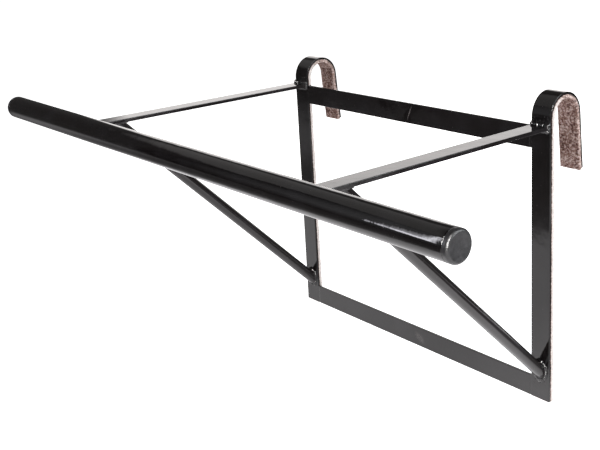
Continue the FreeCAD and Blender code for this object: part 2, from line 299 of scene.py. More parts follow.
# ---- materials -------------------------------------------------------------------------------------
def gloss_black_paint(name, paint, lumpy=0.0, edge=0.0, marks=()):
    """Gloss paint with orange peel, soft haze, hairline scratches, dust nibs and rubbed edges.

    lumpy is the depth of a bead's rough skin, and edge the radius of the flats' corners. Each mark is a
    rubbed patch: (centre, turn about Y, half sizes, share)."""
    material = bpy.data.materials.new(name)
    n = Nodes(material)
    haze = n.ramp(n.noise(55 * MM, 4.0), 0.42, 0.72)
    smudge = n.ramp(n.noise(17 * MM, 5.0, rough=0.6), 0.52, 0.74)
    along = n.place((4.0, 0.12, 0.12), (0.3, 0.5, 0.2))
    across = n.place((0.12, 0.12, 4.0), (0.2, -0.4, 0.5))
    hairs = n.ramp(n.noise(3.0 * MM, 2.0, along), 0.71, 0.76)
    cross_hairs = n.ramp(n.noise(3.4 * MM, 2.0, across), 0.73, 0.78)
    scratches = n.sum(hairs, cross_hairs)
    nibs = n.ramp(n.cells(11 * MM), 0.075, 0.03)
    wear = n.times(n.edge_wear(0.9 * MM), n.ramp(n.noise(9 * MM, 6.0, rough=0.65), 0.5, 0.72))
    tint = n.blend(haze, tuple(paint.colour), tuple(paint.bloom))
    tint = n.blend(n.times(nibs, 0.3), tint, tuple(paint.worn))
    tint = n.blend(n.times(wear, 0.55), tint, tuple(paint.worn))
    for centre, turn, half, share in marks:
        patch = n.times(n.mark(centre, turn, half), n.ramp(n.noise(2.4 * MM, 4.0, rough=0.7), 0.34, 0.68))
        tint = n.blend(n.times(patch, share), tint, tuple(paint.rubbed))
    rough = n.ramp(n.sum(n.times(haze, 0.35), n.times(smudge, 0.4)), 0.0, 1.0, paint.roughness, paint.haze)
    rough = n.sum(rough, n.times(scratches, 0.08))
    rough = n.sum(rough, n.times(wear, 0.12))
    corner = n.add("Bevel", {"Radius": edge}, samples=6).outputs["Normal"] if edge else None
    run = n.bump(n.noise(60 * MM, 1.0), 0.6 * MM, corner)
    sag = n.bump(n.noise(15 * MM, 2.0), 0.16 * MM, run)
    peel = n.bump(n.noise(paint.peel_size, 2.0), paint.peel_depth, sag)
    nib = n.bump(nibs, 0.05 * MM, peel)
    cut = n.bump(n.times(scratches, -1.0), 0.004 * MM, nib)
    if lumpy:
        cut = n.bump(n.noise(1.3 * MM, 4.0, rough=0.6), lumpy, cut)
    n.surface(Base_Color=tint, Roughness=rough, Normal=cut, IOR=1.5)
    return material


def painted_sidelit(n):
    """Share of the painted highlight that makes the felt's cut sides pale as if lit: most behind the
    uprights, least on the hooks' free legs.
    """
    depth = n.add("SeparateXYZ", {0: n.add("NewGeometry").outputs["Position"]}).outputs["Y"]
    return n.ramp(depth, -6 * MM, -24 * MM, 0.10, 0.75)


def recycled_felt(felt):
    """Pressed recycled felt: a mottle of brown, pink-grey and pale fibres, its cut sides paled by a painted
    highlight.
    """
    material = bpy.data.materials.new("pressed_felt")
    n = Nodes(material)
    patch = n.noise(14 * MM, 3.0, rough=0.6)
    tuft = n.noise(3.4 * MM, 2.0, rough=0.6)
    strand = n.noise(3.8 * MM, 2.0, n.place((1.0, 0.35, 1.6), (0.4, 0.7, 0.3)), rough=0.6)
    mottle = n.sum(n.times(patch, 0.24), n.sum(n.times(tuft, 0.46), n.times(strand, 0.30)))
    tint = n.blend(n.ramp(mottle, 0.42, 0.49), tuple(felt.dark), tuple(felt.middle))
    tint = n.blend(n.ramp(mottle, 0.50, 0.575), tint, tuple(felt.pale))
    cool = n.ramp(n.noise(3.1 * MM, 2.0, n.place(turn=(1.0, 0.2, 0.4))), 0.62, 0.74, 0.0, 0.55)
    tint = n.blend(cool, tint, tuple(felt.grey))
    rust = n.ramp(n.noise(2.7 * MM, 2.0, n.place(turn=(0.1, 1.3, 0.9))), 0.64, 0.76, 0.0, 0.5)
    tint = n.blend(rust, tint, tuple(felt.rust))
    # painted highlight: faces that look along X are paled towards the cut-side colour, as if lit
    facing = n.add("SeparateXYZ", {0: n.add("NewGeometry").outputs["True Normal"]}).outputs["X"]
    painted_sidelit_share = n.times(n.ramp(n.times(facing, facing), 0.35, 0.8), painted_sidelit(n))
    tint = n.blend(painted_sidelit_share, tint, tuple(felt.cut))
    pits = n.bump(tuft, 1.1 * MM)
    fuzz = n.bump(strand, 0.8 * MM, pits)
    rough = n.ramp(tuft, 0.3, 0.7, 0.86, 1.0)
    n.surface(Base_Color=tint, Roughness=rough, Normal=fuzz, Sheen_Weight=0.08, Sheen_Roughness=0.6,
              Specular_IOR_Level=0.03)
    return material


def felt_fibre(felt):
    """Single fibres, each one pale, pink-grey or dark, paled further behind the uprights by a painted
    highlight.
    """
    material = bpy.data.materials.new("felt_fibre")
    n = Nodes(material)
    pick = n.noise(3.2 * MM, 1.0)
    tint = n.blend(n.ramp(pick, 0.40, 0.52), tuple(felt.dark), tuple(felt.middle))
    tint = n.blend(n.ramp(pick, 0.52, 0.66), tint, tuple(felt.pale))
    # painted highlight: fibres paled towards the cut-side colour behind the uprights, as if lit
    tint = n.blend(painted_sidelit(n), tint, tuple(felt.cut))
    rough = n.ramp(n.noise(0.8 * MM, 1.0), 0.3, 0.7, 0.75, 0.95)
    ridges = n.bump(n.noise(0.3 * MM, 1.0), 0.02 * MM)
    n.surface(Base_Color=tint, Roughness=rough, Normal=ridges, Specular_IOR_Level=0.05)
    return material


def moulded_plastic(cap):
    """Satin plastic with a fine moulded grain, scuffed on its edges."""
    material = bpy.data.materials.new("satin_plastic")
    n = Nodes(material)
    cloud = n.ramp(n.noise(6 * MM, 4.0), 0.35, 0.7)
    scuff = n.ramp(n.noise(2.2 * MM, 4.0, rough=0.7), 0.46, 0.66)
    wear = n.times(n.edge_wear(1.2 * MM), n.ramp(n.noise(3 * MM, 4.0), 0.35, 0.65))
    share = n.sum(n.times(cloud, 0.22), n.sum(n.times(scuff, 0.38), n.times(wear, 0.8)))
    tint = n.blend(share, tuple(cap.colour), tuple(cap.scuffed))
    rough = n.ramp(share, 0.0, 1.0, cap.roughness, cap.roughness + 0.22)
    grain = n.bump(n.noise(1.5 * MM, 3.0), 0.05 * MM)
    flow = n.bump(n.noise(7 * MM, 2.0), 0.5 * MM, grain)
    n.surface(Base_Color=tint, Roughness=rough, Normal=flow, IOR=1.47)
    return material


# ---- mesh helpers ----------------------------------------------------------------------------------
def new_piece(name, points, faces, material, stands_for=()):
    """A smooth-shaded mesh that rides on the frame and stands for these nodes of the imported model."""
    mesh = bpy.data.meshes.new(name)
    mesh.from_pydata([tuple(p) for p in points], [], faces)
    mesh.validate()
    mesh.shade_smooth()
    mesh.materials.append(material)
    piece = bpy.data.objects.new(name, mesh)
    bpy.context.scene.collection.objects.link(piece)
    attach(piece, BODY)
    if stands_for:
        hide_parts(*stands_for)
    return piece


def skin_rings(rings, closed_along, points, faces):
    """Joins rings of equal length into a tube. An open tube gets a flat cap at each end."""
    start, count, size = len(points), len(rings), len(rings[0])
    for ring in rings:
        points.extend(ring)
    for i in range(count if closed_along else count - 1):
        a, b = start + i * size, start + ((i + 1) % count) * size
        for j in range(size):
            k = (j + 1) % size
            faces.append((a + j, a + k, b + k, b + j))
    if not closed_along:
        faces.append(tuple(start + j for j in reversed(range(size))))
        faces.append(tuple(start + (count - 1) * size + j for j in range(size)))


def face_outwards(piece):
    """Turns every face outwards, part by part."""
    work = bmesh.new()
    work.from_mesh(piece.data)
    bmesh.ops.recalc_face_normals(work, faces=work.faces)
    work.to_mesh(piece.data)
    work.free()


def keep_sharp(piece, degrees):
    """Smooth shading, but for edges sharper than this."""
    piece.data.set_sharp_from_angle(angle=math.radians(degrees))


def droplet(centre, radius, seed, points, faces):
    """A small uneven ball of spatter."""
    rings, around = 5, 8
    start = len(points)
    points.append(centre + Vector((0, 0, -radius)))
    for i in range(1, rings):
        tilt = math.pi * (i / rings - 0.5)
        for j in range(around):
            turn = math.tau * j / around
            out = Vector((math.cos(tilt) * math.cos(turn), math.cos(tilt) * math.sin(turn), math.sin(tilt)))
            swell = 1 + 0.22 * noise.noise(out * 1.7 + Vector((seed, 0, 0)))
            points.append(centre + out * radius * swell)
    points.append(centre + Vector((0, 0, radius)))
    top = len(points) - 1
    for j in range(around):
        k = (j + 1) % around
        faces.append((start, start + 1 + k, start + 1 + j))
        for i in range(rings - 2):
            a, b = start + 1 + i * around, start + 1 + (i + 1) * around
            faces.append((a + j, a + k, b + k, b + j))
        last = start + 1 + (rings - 2) * around
        faces.append((last + j, last + k, top))


# ---- weld beads ------------------------------------------------------------------------------------
class Station:
    """One place along a bead: its root, and the two surfaces' directions with the leg on each."""

    def __init__(self, root, wall, wall_leg, rod, rod_leg):
        self.root = Vector(root)
        self.wall = Vector(wall).normalized()
        self.wall_leg = wall_leg
        self.rod = Vector(rod).normalized()
        self.rod_leg = rod_leg


def spread_stations(stations, step):
    """Stations set evenly round the bead, close enough together to carry its ripples."""
    loop = stations + stations[:1]
    lengths = [0.0]
    for a, b in zip(loop, loop[1:]):
        lengths.append(lengths[-1] + (b.root - a.root).length)
    total = lengths[-1]
    count = max(8, round(total / step))
    out, i = [], 0
    for j in range(count):
        at = total * j / count
        while i < len(loop) - 2 and lengths[i + 1] < at:
            i += 1
        t = (at - lengths[i]) / max(lengths[i + 1] - lengths[i], 1e-9)
        a, b = loop[i], loop[i + 1]
        out.append((at, Station(a.root.lerp(b.root, t), a.wall.lerp(b.wall, t),
                                a.wall_leg + (b.wall_leg - a.wall_leg) * t,
                                a.rod.lerp(b.rod, t), a.rod_leg + (b.rod_leg - a.rod_leg) * t)))
    return out, total


def bead_rings(stations, weld, seed):
    """Cross-sections of a fillet bead: a convex face with crescent ripples, its root sunk in the steel."""
    spread, total = spread_stations(stations, weld.pitch / STATIONS_PER_RIPPLE)
    ripples = max(1, round(total / weld.pitch))
    across = 11
    rings = []
    for at, s in spread:
        drift = noise.noise(Vector((at / (9 * MM), seed, 0.0)))
        lumps = noise.noise(Vector((at / (4.2 * MM), seed, 2.0)))
        swell = 1 + 0.24 * drift + 0.42 * lumps
        out = (s.wall + s.rod).normalized()
        size = min(s.wall_leg, s.rod_leg)
        ring = [s.root - out * BEAD_SINK]
        for i in range(across):
            t = i / (across - 1)
            crescent = 1 - (2 * t - 1) ** 2
            phase = at / total * ripples - 0.62 * crescent + 0.25 * drift
            wave = abs(math.sin(math.pi * phase)) ** 0.6
            edge = 1 + 0.10 * wave + 0.09 * noise.noise(Vector((at / (2.1 * MM), t * 2, seed)))
            along_wall = s.wall * (s.wall_leg * swell * edge * (1 - t))
            along_rod = s.rod * (s.rod_leg * swell * edge * t)
            rise = crescent * size * BEAD_BULGE * swell
            rough = 0.16 * MM * noise.noise(Vector((at / (0.9 * MM), t * 5, seed + 7)))
            lift = rise + (weld.ripple * (wave - 0.5) + rough) * crescent
            toe = (1 - crescent) ** 6 * BEAD_SINK
            ring.append(s.root + along_wall + along_rod + out * (lift - toe))
        rings.append(ring)
    return rings


def bead(name, stations, weld, material, seed, stands_for, spatter_on):
    """One bead and its droplets. spatter_on is (place, first, second, normal) of the steel near it."""
    points, faces = [], []
    skin_rings(bead_rings(stations, weld, seed), True, points, faces)
    draw = random.Random(seed)
    place, first, second, normal = (Vector(v) for v in spatter_on)
    for index in range(weld.spatter):
        radius = MM * draw.choice((0.3, 0.4, 0.5, 0.7, 1.0))
        spot = place + first * draw.uniform(-1, 1) + second * draw.uniform(-1, 1)
        droplet(spot + normal * radius * 0.35, radius, seed + index, points, faces)
    piece = new_piece(name, points, faces, material, [stands_for])
    face_outwards(piece)
    return piece


def collar_outline(half_wide, half_high, corner, steps):
    """Points and outward directions round a rounded rectangle, as (x, z, out x, out z)."""
    out = []
    corners = ((1, 1, 0), (-1, 1, 90), (-1, -1, 180), (1, -1, 270))
    for sx, sz, first in corners:
        cx, cz = sx * (half_wide - corner), sz * (half_high - corner)
        for i in range(steps + 1):
            angle = math.radians(first + 90 * i / steps)
            ox, oz = math.cos(angle), math.sin(angle)
            out.append((cx + ox * corner, cz + oz * corner, ox, oz))
    return out


def arm_frame_stations(middle_x, weld):
    """Round the arm on the upright's front face, fuller on the left side."""
    stations = []
    for x, z, ox, oz in collar_outline(ARM_HALF_WIDE, ARM_HALF_HIGH, ARM_CORNER, 4):
        side_leg = weld.leg * (0.86 if ox < 0 else 0.36)
        leg = side_leg + (weld.leg * 0.92 - side_leg) * abs(oz)
        root = (middle_x + x, FRONT_Y, BAR_Z + z)
        stations.append(Station(root, (ox, 0, oz), leg, (0, -1, 0), weld.leg * (0.62 + 0.25 * abs(oz))))
    return stations


def arm_bar_stations(middle_x, weld):
    """Round the arm where its coped end meets the bar."""
    stations = []
    for x, z, ox, oz in collar_outline(ARM_HALF_WIDE, ARM_HALF_HIGH, ARM_CORNER, 4):
        y = math.sqrt(BAR_RADIUS ** 2 - z ** 2)
        uphill = Vector((ox * BAR_RADIUS, -z * oz, y * oz))
        root = (middle_x + x, BAR_Y + y, BAR_Z + z)
        stations.append(Station(root, uphill, weld.leg * 0.9, (0, 1, 0), weld.leg * 0.8))
    return stations


def brace_line():
    """The brace's direction from its foot up to the arm, its foot and its head, on the middle plane."""
    foot_z = (low("brace_foot_weld_right").z + high("brace_foot_weld_right").z) / 2
    head_y = (low("brace_head_weld_right").y + high("brace_head_weld_right").y) / 2
    under_z = BAR_Z - ARM_HALF_HIGH
    rise = Vector((0, low("brace_right").y - FRONT_Y, under_z - low("brace_right").z)).normalized()
    foot = Vector((0, FRONT_Y, foot_z))
    return rise, foot, Vector((0, head_y, under_z))


def brace_stations(middle_x, centre, up_brace, long_axis, leg, count=40):
    """Round a brace's slanted end. long_axis is the direction in the face that the ellipse is long in."""
    stretch = 1 / abs(up_brace.cross(long_axis).length)
    stations = []
    for i in range(count):
        turn = math.tau * i / count
        c, s = math.cos(turn), math.sin(turn)
        root = (centre + Vector((middle_x + BRACE_RADIUS * c, 0, 0))
                + long_axis * (BRACE_RADIUS * stretch * s))
        away = Vector((c, 0, 0)) + long_axis * s
        lean = up_brace.dot(away.normalized())
        wall_leg = leg * (1 + 0.45 * max(0.0, lean))
        rod_leg = leg * (0.85 + 0.35 * max(0.0, lean))
        stations.append(Station(root, away, wall_leg, up_brace, rod_leg))
    return stations


def rail_seam(name, side, top_z, weld, material):
    """The seam between a rail's end and the upright: ground flush in front, a rippled crown behind."""
    inner = abs(high("top_rail").x)
    outer = MIDDLE_X - UPRIGHT_HALF + GRIND_BACK
    seam_low, seam_high = top_z - FLAT_WIDTH + GRIND_BACK, top_z - GRIND_BACK
    count = round((seam_high - seam_low) / (weld.pitch / STATIONS_PER_RIPPLE))
    behind = 9
    half = (outer - inner) / 2
    rings = []
    for i in range(count + 1):
        t = i / count
        z = seam_low + (seam_high - seam_low) * t
        taper = min(1.0, 6 * t, 6 * (1 - t))
        ring = [(side * inner, FRONT_Y, z), (side * outer, FRONT_Y, z)]
        for j in range(behind):
            u = 1 - 2 * j / (behind - 1)
            crescent = 1 - u * u
            wave = abs(math.sin(math.pi * (z / weld.pitch - 0.5 * crescent))) ** 0.6
            crown = crescent * (0.45 * MM + 0.35 * MM * wave) * taper
            x = (inner + outer) / 2 + u * half * (1.0 + 0.15 * crescent)
            ring.append((side * x, BACK_Y + crown + 0.02 * MM, z))
        rings.append([Vector(p) for p in ring])
    points, faces = [], []
    skin_rings(rings, False, points, faces)
    piece = new_piece(name + "_seam", points, faces, material, [name])
    face_outwards(piece)
    keep_sharp(piece, 40)
    return piece


# ---- turned pieces ---------------------------------------------------------------------------------
def turned(name, outline, side, material, stands_for, around=160):
    """Spins a closed outline of (distance from the middle, radius) about the bar's axis."""
    rings = []
    for x, radius in outline:
        ring = []
        for j in range(around):
            turn = math.tau * j / around
            out, up = radius * math.cos(turn), radius * math.sin(turn)
            ring.append(Vector((side * x, BAR_Y + out, BAR_Z + up)))
        rings.append(ring)
    points, faces = [], []
    skin_rings(rings, True, points, faces)
    piece = new_piece(name, points, faces, material, stands_for)
    face_outwards(piece)
    return piece


def corner_arc(cx, cr, radius, first, last, steps):
    """Part of a circle in an outline, in degrees from the axis's direction towards the outside."""
    arc = []
    for i in range(steps + 1):
        angle = math.radians(first + (last - first) * i / steps)
        arc.append((cx + radius * math.cos(angle), cr + radius * math.sin(angle)))
    return arc


# ---- felt ------------------------------------------------------------------------------------------
def hook_line(radius, foot_z, tip_z, step):
    """The line a lining follows up the upright, over the rung and down the flared leg, with its normals."""
    line = []
    z = foot_z
    while z < -step / 2:
        line.append((Vector((0, -radius, z)), Vector((0, 1, 0))))
        z += step
    sweep = math.pi - HOOK_FLARE
    turns = round(sweep * radius / step)
    for i in range(turns + 1):
        angle = math.pi - sweep * i / turns
        out = Vector((0, math.cos(angle), math.sin(angle)))
        line.append((out * radius, -out))
    leaves, inwards = line[-1]
    down = Vector((0, math.sin(HOOK_FLARE), -math.cos(HOOK_FLARE)))
    length = (leaves.z - tip_z) / math.cos(HOOK_FLARE)
    count = round(length / step)
    for i in range(1, count + 1):
        line.append((leaves + down * (length * i / count), inwards))
    return line


def straight_line(top_z, step):
    """The line down the back of an upright, with its normals."""
    count = round((top_z - BOTTOM_Z) / step)
    return [(Vector((0, BACK_Y, BOTTOM_Z + (top_z - BOTTOM_Z) * i / count)), Vector((0, 1, 0)))
            for i in range(count + 1)]


def felt_strip(name, middle_x, line, felt, material, seed, stands_for):
    """A strip of felt on that line: flat against the steel, lumpy outside, its edges soft and uneven."""
    thick = HOOK_INNER - RUNG_RADIUS
    columns = 26
    wander, trim, tuck_depth, glue = 0.35 * MM, 0.2 * MM, 0.35 * MM, 0.03 * MM
    rings = []
    for i, (at, out) in enumerate(line):
        end = min(i, len(line) - 1 - i)
        tuck = tuck_depth * max(0.0, 1 - end / 2) ** 2
        ring = []
        edge_low = wander * noise.noise(Vector((i * 0.35, seed, 3.0)))
        edge_high = wander * noise.noise(Vector((i * 0.35, seed, 9.0)))
        left, right = -FELT_HALF + edge_low + trim, FELT_HALF + edge_high - trim
        for j in range(columns + 1):
            u = j / columns
            x = left + (right - left) * u
            fall = max(0.0, 1 - min(u, 1 - u) * columns / 2.5) ** 2
            lump = noise.noise(Vector((x / (3.5 * MM), i * 0.42, seed))) + 0.6 * noise.noise(
                Vector((x / (1.4 * MM), i * 1.1, seed + 5)))
            depth = thick - 0.25 * MM + felt.lump * lump - 0.6 * MM * fall - tuck
            ring.append(at + out * depth + Vector((middle_x + x, 0, 0)))
        for u in (1.0, 0.75, 0.5, 0.25, 0.0):
            x = left + (right - left) * u
            ring.append(at + out * glue + Vector((middle_x + x, 0, 0)))
        rings.append(ring)
    points, faces = [], []
    skin_rings(rings, False, points, faces)
    piece = new_piece(name, points, faces, material, [stands_for])
    face_outwards(piece)
    length = sum((b[0] - a[0]).length for a, b in zip(line, line[1:]))
    return piece, length


def loose_fibres(name, middle_x, line, felt, material, seed):
    """Loose fibres that stand off a strip's face and edges: thin three-sided hairs, each one bent."""
    thick = HOOK_INNER - RUNG_RADIUS
    draw = random.Random(seed)
    points, faces = [], []
    for _ in range(felt.fibres):
        i = draw.randrange(1, len(line) - 1)
        at, out = line[i]
        along = (line[i + 1][0] - line[i - 1][0]).normalized()
        across = Vector((1, 0, 0))
        on_edge = draw.random() < 0.34
        if on_edge:
            side = draw.choice((-1, 1))
            root = (at + out * draw.uniform(0.2, 0.95) * thick
                    + across * (middle_x + side * (FELT_HALF - 0.3 * MM)))
            away = (across * side * draw.uniform(0.25, 1.0) + out * draw.uniform(-0.4, 0.5)
                    + along * draw.uniform(-1.2, 1.2))
        else:
            root = (at + out * (thick - 0.3 * MM)
                    + across * (middle_x + draw.uniform(-1, 1) * (FELT_HALF - 0.8 * MM)))
            away = out * draw.uniform(0.05, 0.45) + across * draw.uniform(-1, 1) + along * draw.uniform(-1, 1)
        away.normalize()
        bend = Vector((draw.uniform(-1, 1), draw.uniform(-1, 1), draw.uniform(-1, 1))) * 0.5
        length = felt.fibre_length * draw.uniform(0.35, 1.0)
        if on_edge:
            length *= 0.55
        width = MM * draw.uniform(0.05, 0.10)
        rings = []
        for k in range(4):
            t = k / 3
            spot = root + away * (length * t) + bend * (length * t * t * 0.6)
            lift = max(0.0, (spot - at).dot(out) - thick - 0.7 * MM)
            spot -= out * lift
            waist = width * (1 - 0.75 * t)
            side_a = away.cross(out + bend).normalized()
            side_b = away.cross(side_a).normalized()
            rings.append([spot + (side_a * math.cos(a) + side_b * math.sin(a)) * waist
                          for a in (0.0, math.tau / 3, 2 * math.tau / 3)])
        skin_rings(rings, False, points, faces)
    piece = new_piece(name, points, faces, material)
    face_outwards(piece)
    return piece


# ---- studio ----------------------------------------------------------------------------------------
def on_paper(right, deep, z, studio):
    """A point from its distances to the right of and away from the camera, as seen over the origin."""
    away = Vector((-math.sin(studio.azimuth), math.cos(studio.azimuth), 0))
    across = Vector((math.cos(studio.azimuth), math.sin(studio.azimuth), 0))
    return across * right + away * deep + Vector((0, 0, z))


def glow(name, strength, tint=(1, 1, 1)):
    """A plain lamp-like surface whose brightness fades where the mesh's share attribute is low."""
    material = bpy.data.materials.new(name)
    n = Nodes(material)
    share = n.add("Attribute", attribute_name="share").outputs["Fac"]
    shader = n.add("Emission", {"Color": (*tint, 1.0), "Strength": n.times(share, strength)})
    n.tree.links.new(shader.outputs[0], n.add("OutputMaterial").inputs["Surface"])
    return material


def lit_card(name, rows, strength, tint=(1, 1, 1)):
    """A card that lights the steel and shows in its gloss, but is itself unseen. Rows are (point, share)."""
    points = [p for row in rows for p, _ in row]
    shares = [share for row in rows for _, share in row]
    wide = len(rows[0])
    faces = [(i * wide + j, i * wide + j + 1, (i + 1) * wide + j + 1, (i + 1) * wide + j)
             for i in range(len(rows) - 1) for j in range(wide - 1)]
    mesh = bpy.data.meshes.new(name)
    mesh.from_pydata([tuple(p) for p in points], [], faces)
    mesh.attributes.new("share", "FLOAT", "POINT").data.foreach_set("value", shares)
    mesh.materials.append(glow(name, strength, tint))
    card = bpy.data.objects.new(name, mesh)
    bpy.context.scene.collection.objects.link(card)
    card.visible_camera = False
    card.visible_shadow = False
    return card


def soft_box(name, centre, half_wide, half_high, fade, strength, tint, across):
    """An upright panel, brightest in the middle and fading out over its rim."""
    rows = []
    up = Vector((0, 0, 1))
    stops = ((-1 - fade, 0.0), (-1, 0.45), (-1 + fade, 1.0), (1 - fade, 1.0), (1, 0.45), (1 + fade, 0.0))
    for v, high_share in stops:
        rows.append([(centre + across * (half_wide * u) + up * (half_high * v), wide_share * high_share)
                     for u, wide_share in stops])
    return lit_card(name, rows, strength, tint)


# ---- operators -------------------------------------------------------------------------------------
class PULLUP_OT_paint_steel(bpy.types.Operator):
    """Gives the flat steel and the braces their gloss paint"""
    bl_idname = "pullup.paint_steel"
    bl_label = "Paint the steel"

    def execute(self, context):
        paint = context.scene.pullup_paint
        gloss_black_paint("enamel", paint)
        on_top_rail = Vector((8 * MM, FRONT_Y, high("top_rail").z - 17 * MM))
        on_bottom_rail = Vector((18 * MM, FRONT_Y, high("bottom_rail").z - 19 * MM))
        scratch = (on_top_rail, math.radians(-24), (1.6 * MM, 9 * MM, 19 * MM), 1.0)
        smudge = (on_bottom_rail, math.radians(60), (9 * MM, 9 * MM, 17 * MM), 0.35)
        material = gloss_black_paint("enamel_on_flats", paint, edge=1.3 * MM, marks=(scratch, smudge))
        names = ["top_rail", "bottom_rail"]
        for word, _ in SIDES:
            names += ["hook_upright_" + word, "arm_" + word, "brace_" + word]
        for name in names:
            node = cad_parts[name]
            for slot in node.material_slots:
                slot.link = "OBJECT"
                slot.material = bpy.data.materials["enamel"] if "brace" in name else material
        return {"FINISHED"}


class PULLUP_OT_turn_bar(bpy.types.Operator):
    """Makes the round bar, its tube ends rounded over"""
    bl_idname = "pullup.turn_bar"
    bl_label = "Turn the bar"

    def execute(self, context):
        material = bpy.data.materials["enamel"]
        soft = context.scene.pullup_cap.groove
        bore = BAR_RADIUS - TUBE_WALL
        rounded = corner_arc(BAR_HALF - soft, BAR_RADIUS - soft, soft, 90, 0, 6)
        outline = [(-BAR_HALF, bore)]
        outline += [(-x, r) for x, r in reversed(rounded)]
        steps = 60
        straight = 2 * (BAR_HALF - soft)
        outline += [(-BAR_HALF + soft + straight * i / steps, BAR_RADIUS) for i in range(1, steps)]
        outline += rounded
        outline += [(BAR_HALF, bore)]
        piece = turned("grip_tube", outline, 1, material, ["pull_up_bar"])
        keep_sharp(piece, 50)
        return {"FINISHED"}


class PULLUP_OT_mould_caps(bpy.types.Operator):
    """Makes the two end caps: a rounded, dished head on a hollow stem with grip fins"""
    bl_idname = "pullup.mould_caps"
    bl_label = "Mould the end caps"

    def execute(self, context):
        cap = context.scene.pullup_cap
        material = moulded_plastic(cap)
        for word, side in SIDES:
            piece = turned("tube_cap_" + word, self.outline(cap), side, material,
                           ["end_cap_" + word], around=128)
            keep_sharp(piece, 50)
        return {"FINISHED"}

    def outline(self, cap):
        """The cap's half section, from the middle of its face round to the middle of its hollow."""
        middle_hole = 0.15 * MM
        dish_radius = BAR_RADIUS - 4.0 * MM
        steps = 12
        line = [(CAP_END - cap.dish, middle_hole)]
        for i in range(1, steps + 1):
            radius = dish_radius * i / steps
            line.append((CAP_END - cap.dish * (1 - (radius / dish_radius) ** 2), radius))
        line += corner_arc(CAP_END - cap.rim_round, BAR_RADIUS - cap.rim_round, cap.rim_round, 0, 90, 10)
        edge = 0.8 * MM
        line += corner_arc(BAR_HALF + edge, BAR_RADIUS - edge, edge, 90, 180, 4)
        stem, fin, bore = 15.5 * MM, 16.9 * MM, 13.5 * MM
        fin_pitch, fin_foot, fin_top = 5.5 * MM, 0.8 * MM, 0.5 * MM
        line.append((BAR_HALF, stem))
        for index in range(1, 4):
            middle = BAR_HALF - index * fin_pitch
            line += [(middle + fin_foot, stem), (middle + fin_top, fin), (middle - fin_top, fin),
                     (middle - fin_foot, stem)]
        stem_end = BAR_HALF - 22.0 * MM
        floor = BAR_HALF + 2.0 * MM
        line += [(stem_end, stem), (stem_end, bore), (floor, bore), (floor, middle_hole)]
        return line


class PULLUP_OT_lay_beads(bpy.types.Operator):
    """Lays the rippled fillet beads round the arms and the braces"""
    bl_idname = "pullup.lay_beads"
    bl_label = "Lay the weld beads"

    def execute(self, context):
        weld = context.scene.pullup_weld
        material = gloss_black_paint("enamel_on_beads", context.scene.pullup_paint, lumpy=0.10 * MM)
        rise, foot, head = brace_line()
        for seed, (word, side) in enumerate(SIDES, start=1):
            x = side * MIDDLE_X
            on_front = ((x, FRONT_Y, BAR_Z + 7 * MM), (15 * MM, 0, 0), (0, 0, 11 * MM), (0, -1, 0))
            bead("arm_frame_bead_" + word, arm_frame_stations(x, weld), weld, material, 11.0 * seed,
                 "arm_frame_weld_" + word, on_front)
            on_arm = ((x, BAR_Y + 33 * MM, BAR_Z - ARM_HALF_HIGH), (12 * MM, 0, 0), (0, 8 * MM, 0),
                      (0, 0, -1))
            bead("arm_bar_bead_" + word, arm_bar_stations(x, weld), weld, material, 23.0 * seed,
                 "arm_bar_weld_" + word, on_arm)
            on_foot = ((x, FRONT_Y, foot.z), (13 * MM, 0, 0), (0, 0, 24 * MM), (0, -1, 0))
            bead("brace_foot_bead_" + word, brace_stations(x, foot, rise, Vector((0, 0, 1)), weld.brace_leg),
                 weld, material, 37.0 * seed, "brace_foot_weld_" + word, on_foot)
            on_head = ((x, head.y, head.z), (12 * MM, 0, 0), (0, 24 * MM, 0), (0, 0, -1))
            bead("brace_head_bead_" + word, brace_stations(x, head, -rise, Vector((0, 1, 0)), weld.brace_leg),
                 weld, material, 51.0 * seed, "brace_head_weld_" + word, on_head)
        return {"FINISHED"}


class PULLUP_OT_fill_seams(bpy.types.Operator):
    """Fills the seams between the rails and the uprights"""
    bl_idname = "pullup.fill_seams"
    bl_label = "Fill the rail seams"

    def execute(self, context):
        weld = context.scene.pullup_weld
        material = bpy.data.materials["enamel_on_beads"]
        for rail in ("top_rail", "bottom_rail"):
            for word, side in SIDES:
                rail_seam(rail + "_weld_" + word, side, high(rail).z, weld, material)
        return {"FINISHED"}


class PULLUP_OT_line_hooks(bpy.types.Operator):
    """Cuts the felt for the hooks and the backs of the uprights, with its loose fibres"""
    bl_idname = "pullup.line_hooks"
    bl_label = "Line the hooks with felt"

    def execute(self, context):
        felt = context.scene.pullup_felt
        material, fibre = recycled_felt(felt), felt_fibre(felt)
        for seed, (word, side) in enumerate(SIDES, start=2):
            x = side * MIDDLE_X
            lines = {"hook": hook_line(HOOK_INNER, FELT_TIP_Z, FELT_TIP_Z, 1.1 * MM),
                     "back": straight_line(BACK_FELT_TOP_Z, 1.4 * MM)}
            for place, line in lines.items():
                strip, length = felt_strip(place + "_lining_" + word, x, line, felt, material, 3.0 * seed,
                                           place + "_felt_" + word)
                fibres = loose_fibres(place + "_fibres_" + word, x, line, felt, fibre, 17 * seed)
        return {"FINISHED"}


